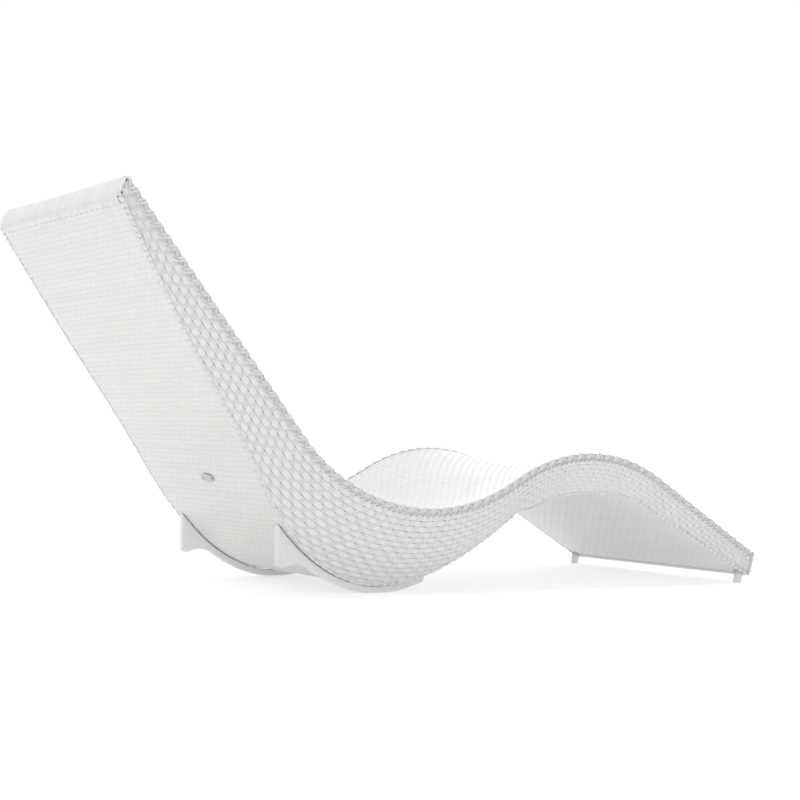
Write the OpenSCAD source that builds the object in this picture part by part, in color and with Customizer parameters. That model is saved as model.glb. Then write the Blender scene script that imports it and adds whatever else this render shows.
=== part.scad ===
// Woven spa lounger: a hollow S-shaped body of flat woven strands over a bent tube frame,
// carried by two curved skids under the seat and two small glides at the foot.
// Millimetres. X runs from the head end to the foot end, Z is up from the floor.

/* [Body] */
// Width across the two rope edges
overall_w = 750; // [680:5:820]
// Slope of the backrest above the floor, in degrees
back_slope = 51; // [46:0.2:56]
// Length of the straight back rail
back_len = 699; // [640:1:750]
// Radius of the seat bend
seat_r = 456; // [425:1:480]
// Slope of the rise from the seat to the knee, in degrees
thigh_slope = 28.4; // [25:0.2:31]
// Straight length between the seat bend and the knee bend
thigh_len = 60; // [40:5:90]
// Radius of the knee bend
knee_r = 442; // [410:1:470]
// Slope of the leg rest, in degrees
leg_slope = 30.7; // [29:0.1:34]
// Height of the body above the floor at the foot end
foot_gap = 19; // [14:1:26]
// How far the head end face leans from square, in degrees
head_rake = 28; // [20:1:36]
// How far the foot end face leans from square, in degrees
tail_rake = 17; // [10:1:24]
// How far the middle of the seat dips below the rope edges
seat_dish = 38; // [20:1:48]

/* [Depth of the body] */
// At the head end
head_depth = 54; // [48:1:60]
// Half way down the back rail
upper_depth = 87; // [80:1:95]
// Where the seat bend starts
lumbar_depth = 121; // [112:1:128]
// Half way round the seat bend
seat_depth = 201; // [188:1:212]
// Where the seat bend ends
rise_depth = 95; // [89:1:101]
// Where the knee bend starts
thigh_depth = 107; // [100:1:113]
// Half way round the knee bend
knee_depth = 108; // [102:1:114]
// Where the knee bend ends
shin_depth = 81; // [75:1:88]
// At the foot end
foot_depth = 69; // [62:1:74]

/* [Inset of the underside edge from the rope edge] */
// Half way down the back rail
upper_inset = 36; // [28:1:38]
// Where the seat bend starts
lumbar_inset = 62; // [54:1:66]
// Half way round the seat bend
seat_inset = 102; // [92:1:110]
// Where the seat bend ends
rise_inset = 35; // [27:1:37]
// Where the knee bend starts
thigh_inset = 40; // [32:1:43]
// Half way round the knee bend
knee_inset = 55; // [44:1:57]
// Where the knee bend ends
shin_inset = 36; // [28:1:38]
// At the foot end
foot_inset = 5; // [0:1:9]

/* [Weave and edges] */
// Thickness of the woven skin
weave_t = 4.5; // [3.5:0.5:6]
// Thickness of the rope edge, across the body
rope_w = 12; // [9:0.5:14]
// Height of the rope edge
rope_h = 20; // [17:0.5:24]
// How far the rope edge stands above the woven surface
rope_proud = 3; // [1.5:0.5:4]
// How far the rope edge stands outside the side weave
side_recess = 3; // [1.5:0.5:4]
// Diameter of the bound lower edge
cord_d = 9; // [7:0.5:11]
// Thickness of the bound bands at the head and foot ends
band_t = 6; // [5:0.5:8]
// Radius of the corners of the end bands, seen from the end
band_corner_r = 14; // [8:1:20]

/* [Frame] */
// Diameter of the side rails and end tubes
rail_d = 22; // [19:0.5:22.5]
// Wall of the side rails and end tubes
rail_wall = 1.8; // [1.2:0.1:2.5]
// Diameter of the dished ribs
rib_d = 14; // [12:0.5:16]
// How much thinner the bends of a side rail are than its straight lengths
bend_step = 0.4; // [0.2:0.1:0.8]
// How far the straight lengths of a side rail lap over its bends
bend_lap = 2; // [1:0.5:4]
// Wall of the dished ribs
rib_wall = 1.5; // [1:0.1:2]
// Diameter of the lower side rods
rod_d = 12; // [10:0.5:13]
// Diameter of the struts between the rails and the lower rods
strut_d = 9; // [7:0.5:10]
// Gap left between neighbouring pieces
fit = 0.3; // [0.2:0.05:0.4]

/* [Skids and glides] */
// Thickness of a skid, across the body
skid_w = 19; // [14:1:22]
// Depth of a skid below the woven underside
skid_t = 17.5; // [15:0.5:22]
// Distance of the middle of a skid from the edge of the underside
skid_edge = 16.5; // [16:0.5:32]
// From the lowest point of the rope edge back to the rear of the skid
skid_rear = 358; // [335:1:365]
// From the lowest point of the rope edge forward to the front of the skid
skid_front = 36; // [20:1:50]
// Height of the heel of the skid above the floor
heel_clear = 67; // [58:1:74]
// Length of the heel's foot in front of its rear corner
heel_len = 18; // [12:1:26]
// Radius of the corners of the skid
skid_corner_r = 10; // [6:0.5:11]
// Length of the hollow between the heel and the curved sole
arch_len = 70; // [55:1:85]
// Rise of the hollow between the heel and the curved sole
heel_arch = 6.5; // [3:0.5:9]
// Depth of the flat cut on the sole, where the skid stands on the floor
sole_cut = 1.3; // [0.8:0.1:2]
// Diameter of a skid screw
screw_d = 6; // [5:0.5:7]
// Diameter of a skid screw's head
screw_head_d = 11; // [9:0.5:13]
// Height of a skid screw's head
screw_head_h = 4; // [3:0.5:5]
// How deep a skid screw goes into the skid
screw_bite = 13; // [11:0.5:14]
// Length of a skid tab, along the body
tab_len = 26; // [22:1:30]
// Width of a skid tab, across the body
tab_w = 28; // [20:1:36]
// Thickness of a skid tab
tab_t = 4; // [3:0.5:5]
// Diameter of a foot glide
glide_d = 23; // [20:0.5:26]
// How far a foot glide leans, in degrees
glide_lean = 12; // [6:1:16]
// Diameter of a foot glide's stem
stem_d = 8; // [7:0.5:9]
// Length of a foot glide's stem above the woven underside
stem_len = 19; // [14:1:20]
// Diameter of a foot glide's socket
socket_d = 15; // [13:0.5:17]

/* [Badge] */
// Width of the badge plate, across the body
badge_w = 62; // [50:1:74]
// Height of the badge plate, along the body
badge_h = 24; // [20:1:30]
// Distance from the middle of the body to the badge, toward the left side
badge_shift = 32; // [22:1:40]
// Thickness of the badge plate
badge_t = 1.5; // [1:0.1:2]
// Diameter of a badge rivet
rivet_d = 3; // [2.5:0.1:3.5]
// Diameter of a badge rivet's head
rivet_head_d = 6; // [5:0.1:7]
// Height of a badge rivet's head
rivet_head_h = 1.6; // [1.2:0.1:2]
// Distance between the two rivets
rivet_pitch = 44; // [34:1:50]

/* [Hidden] */

// Stations run along the body: 0 head end, 2 start of the seat bend, 4 its end,
// 5 start of the knee bend, 7 its end, 8 foot end.
seat_start = 2;
seat_end = 4;
knee_start = 5;
knee_end = 7;
last_station = 8;
knee_crest = knee_start + (knee_end - knee_start) * thigh_slope / (thigh_slope + leg_slope);

// Stations of the cross pieces
upper_rib_at = 0.7;
middle_rib_at = 1.35;
lower_rib_at = 1.95;
seat_rib_at = 3.1;
thigh_rib_at = 4.2;
leg_rib_at = 7.35;
upper_bar_at = 1;
lumbar_bar_at = 1.8;
skid_bars_at = [2.5, 2.875, 3.125];
thigh_bar_at = 4.5;
knee_bar_at = 6;
leg_bar_at = 7.5;
rod_from = 0.75;
rod_to = 7.6;
struts_at = [0.8, 1.4, 2, 2.5, 3.125, 4.5, 6, 7.5];

// How the dish fades along the body, as a share of seat_dish at each station
dish_share = [0, 0.3, 0.75, 1, 1, 1, 1, 0.6, 0];
// Outward bulge of a side, as a share of its height
side_bulge_share = 0.05;
// Least dish, which keeps the dished arc a true arc
least_dish = 0.4;

// Counts that set how smooth the curves are
back_steps = 10;
seat_steps = 16;
thigh_steps = 4;
knee_steps = 12;
leg_steps = 6;
across_steps = 12;
side_steps = 4;
ring_sides = 8;
round_fn = 48;
rail_fn = 32;
bend_fn = 120;
rib_fn = 720;
search_steps = 30;
slope_step = 0.02;
overrun = 1;

rail_rad = rail_d / 2;
rib_rad = rib_d / 2;
rod_rad = rod_d / 2;
cord_rad = cord_d / 2;
half_w = overall_w / 2;
dish_half_w = half_w - rope_w - fit;
rail_y = half_w - rope_w - fit - rail_rad;
seat_step = (seat_end - seat_start) / seat_steps;
full_dish_r = (dish_half_w ^ 2 + seat_dish ^ 2) / (2 * seat_dish);
facet_gap = knee_r * (1 - cos((thigh_slope + leg_slope) / knee_steps / 2));
rail_drop = rope_proud + weave_t + full_dish_drop(rail_y)
    + (rail_rad + fit) / cos(asin(rail_y / full_dish_r)) + facet_gap;
rib_drop = weave_t + fit + facet_gap + rib_rad;
bar_lift = weave_t + fit + rod_rad;
rod_lift = bar_lift + rod_d + fit;
rod_in = cord_d + fit + rod_rad;
skid_y = half_w - seat_inset - skid_edge;
function full_dish_drop(y) = seat_dish - full_dish_r + sqrt(full_dish_r ^ 2 - y ^ 2);

depths = [head_depth, upper_depth, lumbar_depth, seat_depth, rise_depth,
          thigh_depth, knee_depth, shin_depth, foot_depth];
insets = [0, upper_inset, lumbar_inset, seat_inset, rise_inset,
          thigh_inset, knee_inset, shin_inset, foot_inset];

// A smooth curve through a list of values, read at station u
function smooth_at(values, u) =
    let (n = len(values) - 1,
         i = max(0, min(floor(u), n - 1)),
         t = u - i,
         a = values[max(i - 1, 0)],
         b = values[i],
         c = values[i + 1],
         d = values[min(i + 2, n)])
    (2 * b + (c - a) * t + (2 * a - 5 * b + 4 * c - d) * t ^ 2
     + (3 * b - a - 3 * c + d) * t ^ 3) / 2;

function toward(a) = [cos(a), sin(a)];
function unit(v) = v / norm(v);

// Heading of the rope edge at station u, in degrees above the floor
function heading(u) =
    u < seat_start ? -back_slope
    : u < seat_end ? -back_slope
        + (u - seat_start) / (seat_end - seat_start) * (back_slope + thigh_slope)
    : u < knee_start ? thigh_slope
    : u < knee_end ? thigh_slope
        - (u - knee_start) / (knee_end - knee_start) * (thigh_slope + leg_slope)
    : -leg_slope;

// Corners of the rope edge, with the centre of the seat bend at zero
seat_in = seat_r * toward(-90 - back_slope);
seat_out = seat_r * toward(thigh_slope - 90);
knee_in = seat_out + thigh_len * toward(thigh_slope);
knee_centre = knee_in - knee_r * toward(thigh_slope + 90);
knee_out = knee_centre + knee_r * toward(90 - leg_slope);

// Height that puts the flat of the sole on the floor, and the length that brings the foot down
seat_lowest = min([for (u = [seat_start : slope_step : seat_end]) local_low(u)[1]]);
lift = skid_t - sole_cut - seat_lowest;
foot_face_slope = tail_rake - 90 - leg_slope;
leg_len = (knee_out[1] + lift + foot_depth * sin(foot_face_slope) - foot_gap) / sin(leg_slope);

function local_rail(u) =
    u < seat_start ? seat_in - back_len * (seat_start - u) / seat_start * toward(-back_slope)
    : u < seat_end ? seat_r * toward(heading(u) - 90)
    : u < knee_start ? seat_out + thigh_len * (u - seat_end) * toward(thigh_slope)
    : u < knee_end ? knee_centre + knee_r * toward(heading(u) + 90)
    : knee_out + leg_len * (u - knee_end) * toward(-leg_slope);

// How much a section follows the leaning end faces: all at the ends, fading to none
function end_share(u) = u < 1 ? (1 - u) ^ 2 : u > knee_end ? (u - knee_end) ^ 2 : 0;

// Slope of the line from the rope edge to the underside edge at station u
function face_slope(u) = heading(u) - 90 + end_share(u) * (u < 1 ? head_rake : tail_rake);
function local_low(u) = local_rail(u) + smooth_at(depths, u) * toward(face_slope(u));

head_face = toward(face_slope(0));
foot_face = toward(face_slope(last_station));
head_out = [head_face[1], -head_face[0]];
foot_out = [-foot_face[1], foot_face[0]];

// Section of an end band: square inside, round outside, from the rope edge to the underside
function band_outline(top, face, out, depth) =
    let (r = band_t, a = atan2(out[1], out[0]), side = sign(face[0] * out[1] - face[1] * out[0]))
    concat([top, top + depth * face],
           [for (i = [0 : 6]) top + (depth - r) * face
               + r * toward(a - side * 90 + side * 15 * i)],
           [for (i = [0 : 6]) top + r * face + r * toward(a + side * 15 * i)]);

head_outline = band_outline(local_rail(0), head_face, head_out, head_depth);
foot_outline = band_outline(local_rail(last_station), foot_face, foot_out, foot_depth);
shift_x = -(min([for (p = head_outline) p[0]]) + max([for (p = foot_outline) p[0]])) / 2;
shift = [shift_x, lift];

function rail(u) = local_rail(u) + shift;
function low(u) = local_low(u) + shift;
function inward(u) = toward(heading(u) - 90);
function low_heading(u) =
    let (d = local_low(min(u + slope_step, last_station)) - local_low(max(u - slope_step, 0)))
    atan2(d[1], d[0]);
function low_inward(u) = toward(low_heading(u) + 90);

// Steps of unit depth, square to the rope edge or to the underside, that follow the end faces
function down(u) = toward(face_slope(u)) / cos(face_slope(u) - heading(u) + 90);
function up(u) =
    let (square = low_heading(u) + 90, lean = end_share(u) * (face_slope(u) + 180 - square))
    toward(square + lean) / cos(lean);
function half_under(u) = half_w - smooth_at(insets, u);

// Drop of the dished surface below the rope edge's plane, a circular arc across the body
function dish(u) = max(least_dish, seat_dish * smooth_at(dish_share, u));
function dish_radius(u) = (dish_half_w ^ 2 + dish(u) ^ 2) / (2 * dish(u));
function dish_drop(u, y) =
    dish(u) - dish_radius(u) + sqrt(dish_radius(u) ^ 2 - y ^ 2);

function at_xz(p, y) = [p[0], y, p[1]];

// The first and last stations stop short of the end bands
stations = concat(
    [seat_start * 2 * fit / back_len],
    [for (i = [1 : back_steps - 1]) seat_start * i / back_steps],
    [for (i = [0 : seat_steps - 1]) seat_start + (seat_end - seat_start) * i / seat_steps],
    [for (i = [0 : thigh_steps - 1]) seat_end + (knee_start - seat_end) * i / thigh_steps],
    [for (i = [0 : knee_steps - 1]) knee_start + (knee_end - knee_start) * i / knee_steps],
    [for (i = [0 : leg_steps - 1]) knee_end + (last_station - knee_end) * i / leg_steps],
    [last_station - 2 * fit / leg_len]);

// Station where the underside edge passes a given x
function station_at(x, from, to, n) =
    n == 0 ? (from + to) / 2
    : low((from + to) / 2)[0] < x ? station_at(x, (from + to) / 2, to, n - 1)
    : station_at(x, from, (from + to) / 2, n - 1);

// A closed skin between two surfaces, each a function of a station and a place across it
module skin(us, vs, outer, inner) {
    n = len(us);
    m = len(vs);
    k = n * m;
    function id(i, j) = i * m + j;
    polyhedron(
        points = concat([for (u = us) for (v = vs) outer(u, v)],
                        [for (u = us) for (v = vs) inner(u, v)]),
        faces = concat(
            [for (i = [0 : n - 2]) for (j = [0 : m - 2]) each [
                [id(i, j), id(i, j + 1), id(i + 1, j + 1)],
                [id(i, j), id(i + 1, j + 1), id(i + 1, j)],
                [k + id(i, j), k + id(i + 1, j + 1), k + id(i, j + 1)],
                [k + id(i, j), k + id(i + 1, j), k + id(i + 1, j + 1)]]],
            [for (j = [0 : m - 2]) each [
                [id(0, j + 1), id(0, j), k + id(0, j)],
                [id(0, j + 1), k + id(0, j), k + id(0, j + 1)],
                [id(n - 1, j), id(n - 1, j + 1), k + id(n - 1, j + 1)],
                [id(n - 1, j), k + id(n - 1, j + 1), k + id(n - 1, j)]]],
            [for (i = [0 : n - 2]) each [
                [id(i, 0), id(i + 1, 0), k + id(i + 1, 0)],
                [id(i, 0), k + id(i + 1, 0), k + id(i, 0)],
                [id(i + 1, m - 1), id(i, m - 1), k + id(i, m - 1)],
                [id(i + 1, m - 1), k + id(i, m - 1), k + id(i + 1, m - 1)]]]),
        convexity = 10);
}

// A closed bar swept along the stations, with one ring of points at each
module swept(us, ring) {
    rings = [for (u = us) ring(u)];
    n = len(us);
    k = len(rings[0]);
    polyhedron(
        points = [for (r = rings) each r],
        faces = concat(
            [for (i = [0 : n - 2]) for (j = [0 : k - 1]) each [
                [i * k + j, i * k + (j + 1) % k, (i + 1) * k + (j + 1) % k],
                [i * k + j, (i + 1) * k + (j + 1) % k, (i + 1) * k + j]]],
            [[for (j = [k - 1 : -1 : 0]) j], [for (j = [0 : k - 1]) (n - 1) * k + j]]),
        convexity = 10);
}

module right_and_left(left) {
    mirror([0, left ? 1 : 0, 0]) children();
}

// Places children on the rope edge at station u: X along it, Z square to it and away from the body
module on_rail(u) {
    translate(at_xz(rail(u), 0)) rotate([0, -heading(u), 0]) children();
}

// Places children on the underside at station u: X along it, Z square to it and into the body
module on_underside(u, y) {
    translate(at_xz(low(u), y)) rotate([0, -low_heading(u), 0]) children();
}

module cross_tube(length, d) {
    rotate([90, 0, 0]) cylinder(h = length, d = d, center = true, $fn = round_fn);
}

module straight_run(from, slope, length, d) {
    translate(at_xz(from, rail_y)) rotate([0, 90 - slope, 0]) cylinder(h = length, d = d, $fn = rail_fn);
}

module bent_run(centre, radius, from, turn, d) {
    translate(at_xz(centre, rail_y)) rotate([90, 0, 0]) rotate([0, 0, from])
        rotate_extrude(angle = turn, $fn = bend_fn) translate([radius, 0]) circle(d = d, $fn = rail_fn);
}

// The bent line of a side rail, square cut at both ends; extra lengthens it at each end
module rail_run(d, extra) {
    head_cut = (rail_drop + rail_rad) * tan(head_rake) + fit;
    back_from = rail(0) + rail_drop * inward(0) + (head_cut - extra) * toward(-back_slope);
    thigh_from = rail(seat_end) + rail_drop * inward(seat_end) - bend_lap * toward(thigh_slope);
    leg_from = rail(knee_end) + rail_drop * inward(knee_end) - bend_lap * toward(-leg_slope);
    straight_run(back_from, -back_slope, back_len - head_cut + extra + bend_lap, d);
    bent_run(shift, seat_r + rail_drop, -90 - back_slope, back_slope + thigh_slope, d - bend_step);
    straight_run(thigh_from, thigh_slope, thigh_len + 2 * bend_lap, d);
    bent_run(knee_centre + shift, knee_r - rail_drop, 90 - leg_slope, thigh_slope + leg_slope,
             d - bend_step);
    straight_run(leg_from, -leg_slope, leg_len - fit + extra + bend_lap, d);
}

module side_rail(left) {
    color("gainsboro") right_and_left(left) difference() {
        rail_run(rail_d, 0);
        rail_run(rail_d - 2 * rail_wall, overrun);
    }
}

module end_tube(along, u) {
    color("gainsboro") on_rail(u) translate([along, 0, -rail_drop]) difference() {
        cross_tube(2 * (rail_y - rail_rad), rail_d);
        cross_tube(2 * (rail_y - rail_rad + overrun), rail_d - 2 * rail_wall);
    }
}

// A rib bent to the dish, its ends cut flat beside the inner sides of the two rails
module dished_rib(u) {
    r = dish_radius(u) + rib_drop;
    reach = rail_y - rail_rad - fit;
    turn = 2 * asin(rail_y / r);
    color("gainsboro") on_rail(u) intersection() {
        translate([0, 0, dish_radius(u) - dish(u) - rope_proud])
            rotate([0, 90, 0]) rotate([0, 0, -turn / 2]) rotate_extrude(angle = turn, $fn = rib_fn)
            translate([r, 0]) difference() {
                circle(d = rib_d, $fn = round_fn);
                circle(d = rib_d - 2 * rib_wall, $fn = round_fn);
            }
        cube([2 * rib_d, 2 * reach, 4 * (seat_dish + rib_d)], center = true);
    }
}

function rod_y(u) = half_under(u) - rod_in;
function rod_centre(u) = at_xz(low(u) + rod_lift * low_inward(u), rod_y(u));
function rail_centre(u) = at_xz(rail(u) + rail_drop * inward(u), rail_y);

module lower_rod(left) {
    us = concat([rod_from], [for (u = stations) if (u > rod_from && u < rod_to) u], [rod_to]);
    ring = function (u) let (c = low(u) + rod_lift * low_inward(u))
        [for (i = [0 : ring_sides - 1]) let (a = 360 * i / ring_sides)
            at_xz(c - rod_rad * sin(a) * low_inward(u), rod_y(u) + rod_rad * cos(a))];
    color("silver") right_and_left(left) swept(us, ring);
}

// A straight bar across the underside, below the two lower rods
module lower_bar(u) {
    color("silver") on_underside(u, 0) translate([0, 0, bar_lift])
        cross_tube(2 * (half_under(u) - cord_d - rod_rad), rod_d);
}

module bar_between(a, b, d) {
    v = b - a;
    translate(a) rotate([0, acos(v[2] / norm(v)), atan2(v[1], v[0])])
        cylinder(h = norm(v), d = d, $fn = round_fn);
}

// How far along a post of direction v a round bar of radius r and direction w ends
function clear_of(v, w, r) =
    let (c = abs(unit(v) * unit(w)), s = sqrt(1 - c ^ 2))
    (r + fit + strut_d / 2 * c) / s;

// Short posts that join the lower rod to the rail above it
module struts(left) {
    color("silver") right_and_left(left) for (u = struts_at) {
        top = rail_centre(u);
        bottom = rod_centre(u);
        v = unit(bottom - top);
        rail_way = rail_centre(u + slope_step) - rail_centre(u - slope_step);
        rod_way = rod_centre(u + slope_step) - rod_centre(u - slope_step);
        bar_between(top + clear_of(v, rail_way, rail_rad) * v,
                    bottom - clear_of(v, rod_way, rod_rad) * v, strut_d);
    }
}

function lying_point(u, y, depth) =
    at_xz(rail(u) + (rope_proud + dish_drop(u, y) + depth) * down(u), y);

module lying_weave() {
    ys = [for (i = [0 : across_steps]) dish_half_w * (2 * i / across_steps - 1)];
    color("white") skin(stations, ys,
        function (u, y) lying_point(u, y, 0),
        function (u, y) lying_point(u, y, weave_t));
}

// Holes that the screws, stems and rivets pass through in the woven underside
module underside_holes() {
    for (left = [false, true]) right_and_left(left) {
        for (u = skid_bars_at) on_screw(u)
            cylinder(h = 2 * (weave_t + overrun), d = screw_d + 2 * fit, center = true, $fn = round_fn);
        on_glide() cylinder(h = 2 * (foot_gap + weave_t), d = stem_d + 2 * fit, $fn = round_fn);
    }
    for (s = [-1, 1]) on_badge() translate([0, s * rivet_pitch / 2, 0])
        cylinder(h = 2 * (weave_t + overrun), d = rivet_d + 2 * fit, center = true, $fn = round_fn);
}

module underside_weave() {
    sides = [1, -1];
    color("whitesmoke") difference() {
        skin(stations, sides,
            function (u, s) at_xz(low(u), s * (half_under(u) - cord_d - fit)),
            function (u, s) at_xz(low(u) + weave_t * up(u), s * (half_under(u) - cord_d - fit)));
        underside_holes();
    }
}

// A point of the side weave at station u, v from 0 under the rope edge to 1 above the binding
function side_point(u, v, depth) =
    let (low_gap = (cord_d + fit + facet_gap) / abs(cos(face_slope(u) - low_heading(u) - 90)),
         from = [half_w - side_recess, (rope_h + fit) * norm(down(u))],
         to = [half_under(u) - cord_rad, smooth_at(depths, u)],
         run = to - from,
         height = norm(run),
         share = v * (1 - low_gap / run[1]),
         bulge = side_bulge_share * height * 4 * share * (1 - share),
         p = from + share * run + bulge * [run[1], -run[0]] / height)
    at_xz(rail(u) + p[1] * toward(face_slope(u)), p[0] - depth * height / run[1]);

module side_weave(left) {
    vs = [for (i = [0 : side_steps]) i / side_steps];
    color("gainsboro") right_and_left(left) skin(stations, vs,
        function (u, v) side_point(u, v, 0),
        function (u, v) side_point(u, v, weave_t));
}

// An octagon section, flattened at the corners, for the rope edge
function rope_section() =
    let (w = rope_w / 2, h = rope_h / 2, c = rope_w / 4)
    [[w, -h + c], [w, h - c], [w - c, h], [-w + c, h], [-w, h - c], [-w, -h + c], [-w + c, -h], [w - c, -h]];

module rope_edge(left) {
    ring = function (u) [for (p = rope_section())
        at_xz(rail(u) + (rope_h / 2 + p[1]) * down(u), half_w - rope_w / 2 + p[0])];
    color("white") right_and_left(left) swept(stations, ring);
}

module lower_binding(left) {
    ring = function (u)
        [for (i = [0 : ring_sides - 1]) let (a = 360 * i / ring_sides)
            at_xz(low(u) + cord_rad * (1 - sin(a)) * up(u),
                  half_under(u) - cord_rad + cord_rad * cos(a))];
    color("white") right_and_left(left) swept(stations, ring);
}

module round_plate(w, h, r) {
    union() {
        square([w - 2 * r, h], center = true);
        square([w, h - 2 * r], center = true);
        for (x = [-1, 1]) for (y = [-1, 1])
            translate([x * (w / 2 - r), y * (h / 2 - r)]) circle(r, $fn = round_fn);
    }
}

// An end band: its section runs across the body, and its four corners are rounded
module end_band(outline, top, slope, depth) {
    color("white") intersection() {
        rotate([90, 0, 0]) linear_extrude(height = overall_w, center = true)
            polygon([for (p = outline) p + shift]);
        translate(at_xz(top, 0)) rotate([0, -90 - slope, 0]) translate([0, 0, -depth / 2])
            rotate([0, 90, 0]) linear_extrude(height = 4 * band_t, center = true)
            round_plate(depth, overall_w, band_corner_r);
    }
}

// Places children where a skid screw goes: X along the flat of the weave in front of its bar
module on_screw(u) {
    way = low(u + seat_step) - low(u);
    slope = atan2(way[1], way[0]);
    from = bar_lift * sin(slope - low_heading(u)) + rod_rad + fit;
    translate(at_xz(low(u), skid_y)) rotate([0, -slope, 0])
        translate([from + tab_len / 2, 0, 0]) children();
}

module skid_tabs(left) {
    color("silver") right_and_left(left) for (u = skid_bars_at) on_screw(u)
        translate([0, 0, weave_t + fit]) difference() {
            translate([-tab_len / 2, screw_head_d / 2 + fit - tab_w, 0]) cube([tab_len, tab_w, tab_t]);
            translate([0, 0, -overrun])
                cylinder(h = tab_t + 2 * overrun, d = screw_d + 2 * fit, $fn = round_fn);
        }
}

// A skid screw, standing on its tab with its head inside the body
module skid_screws(left) {
    color("darkgray") right_and_left(left) for (u = skid_bars_at) on_screw(u) {
        translate([0, 0, weave_t + fit + tab_t])
            cylinder(h = screw_head_h, d = screw_head_d, $fn = round_fn);
        translate([0, 0, -screw_bite])
            cylinder(h = screw_bite + weave_t + fit + tab_t, d = screw_d, $fn = round_fn);
    }
}

skid_back_x = shift_x - skid_rear;
skid_front_x = shift_x + skid_front;
skid_from = station_at(skid_back_x, 0, seat_end, search_steps);
skid_to = station_at(skid_front_x, 0, seat_end, search_steps);

function sole(u) = low(u) - skid_t * low_inward(u);
function seat(u) = low(u) - fit * low_inward(u);

// Side outline of a skid: its seat under the weave, a rounded nose, the curved sole and the heel
module skid_outline() {
    arch_steps = 6;
    sole_start = station_at(skid_back_x + heel_len + arch_len, 0, seat_end, search_steps);
    us = concat([skid_from], [for (u = stations) if (u > skid_from && u < skid_to) u], [skid_to]);
    nose = (seat(skid_to) + sole(skid_to)) / 2;
    nose_r = norm(seat(skid_to) - sole(skid_to)) / 2;
    nose_a = low_heading(skid_to);
    heel = [skid_back_x + skid_corner_r, heel_clear + skid_corner_r];
    arch_from = [skid_back_x + heel_len, heel_clear];
    arch_to = sole(sole_start);
    polygon(concat(
        [for (u = us) seat(u)],
        [for (a = [75 : -15 : -75]) nose + nose_r * toward(nose_a + a)],
        [for (i = [24 : -1 : 0]) sole(sole_start + (skid_to - sole_start) * i / 24)],
        [for (i = [arch_steps - 1 : -1 : 1]) let (t = i / arch_steps)
            arch_from + t * (arch_to - arch_from) + [0, heel_arch * sin(180 * t)]],
        [arch_from],
        [for (a = [270 : -15 : 180]) heel + skid_corner_r * toward(a)]));
}

module skid(left) {
    color("white") right_and_left(left) difference() {
        translate([0, skid_y, 0]) rotate([90, 0, 0])
            linear_extrude(height = skid_w, center = true) skid_outline();
        translate([skid_back_x - overrun, skid_y - skid_w / 2 - overrun, -skid_t])
            cube([skid_rear + skid_front + 2 * skid_t, skid_w + 2 * overrun, skid_t]);
        for (u = skid_bars_at) on_screw(u) translate([0, 0, -screw_bite - fit])
            cylinder(h = screw_bite + skid_t, d = screw_d + 2 * fit, $fn = round_fn);
    }
}

// The glide stands under the end of the rail; Z runs up its leaning axis from the floor
glide_top = rail(last_station) - rail_rad * toward(-leg_slope) + rail_drop * inward(last_station);
glide_x = glide_top[0] - glide_top[1] * tan(glide_lean);
module on_glide() {
    translate([glide_x, rail_y, 0]) rotate([0, glide_lean, 0]) children();
}

function under_at(x) = low(station_at(x, knee_end, last_station, search_steps));

module foot_glide(left) {
    rim = glide_d / 2;
    under = under_at(glide_x);
    slope = low_heading(last_station);
    stem_top = under[1] + stem_len;
    color("white") right_and_left(left) difference() {
        on_glide() {
            translate([0, 0, -glide_d]) cylinder(h = glide_d + 2 * foot_gap, d = glide_d, $fn = round_fn);
            translate([0, 0, foot_gap]) cylinder(h = stem_top - foot_gap, d = stem_d, $fn = round_fn);
        }
        translate([glide_x - glide_d, rail_y - glide_d, -2 * glide_d])
            cube([2 * glide_d, 2 * glide_d, 2 * glide_d]);
        glide_cap(under, slope, rim);
    }
}

// What is cut off the glide above the woven underside, all but the stem
module glide_cap(under, slope, rim) {
    difference() {
        translate(at_xz(under - fit * low_inward(last_station), rail_y)) rotate([0, -slope, 0])
            translate([-2 * glide_d, -glide_d, 0]) cube([4 * glide_d, 2 * glide_d, 2 * glide_d]);
        on_glide() cylinder(h = rail_drop + 2 * glide_d, d = stem_d, $fn = round_fn);
    }
}

module glide_socket(left) {
    under = under_at(glide_x);
    slope = low_heading(last_station);
    color("silver") right_and_left(left) difference() {
        on_glide() cylinder(h = glide_top[1], d = socket_d, $fn = round_fn);
        on_glide() cylinder(h = glide_top[1] + overrun, d = stem_d + 2 * fit, $fn = round_fn);
        translate(at_xz(under + (weave_t + fit) * low_inward(last_station), rail_y)) rotate([0, -slope, 0])
            translate([-2 * glide_d, -glide_d, -2 * glide_d]) cube([4 * glide_d, 2 * glide_d, 2 * glide_d]);
        straight_run(rail(knee_end) + rail_drop * inward(knee_end), -leg_slope,
                     leg_len + rail_d, rail_d + 2 * fit);
    }
}

badge_at = 2.1;
module on_badge() {
    on_underside(badge_at, -badge_shift) children();
}

module badge_plate() {
    color("silver") on_badge() translate([0, 0, -fit - badge_t]) difference() {
        scale([badge_h / badge_w, 1, 1]) cylinder(h = badge_t, d = badge_w, $fn = round_fn);
        for (s = [-1, 1]) translate([0, s * rivet_pitch / 2, -overrun])
            cylinder(h = badge_t + 2 * overrun, d = rivet_d + 2 * fit, $fn = round_fn);
    }
}

module badge_rivets() {
    color("gray") on_badge() for (s = [-1, 1]) translate([0, s * rivet_pitch / 2, 0]) {
        translate([0, 0, -2 * fit - badge_t - rivet_head_h])
            cylinder(h = rivet_head_h, d = rivet_head_d, $fn = round_fn);
        translate([0, 0, -2 * fit - badge_t])
            cylinder(h = 2 * fit + badge_t + weave_t, d = rivet_d, $fn = round_fn);
    }
}

head_tube_at = (rail_rad + fit + rail_drop * sin(head_rake)) / cos(head_rake);

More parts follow.
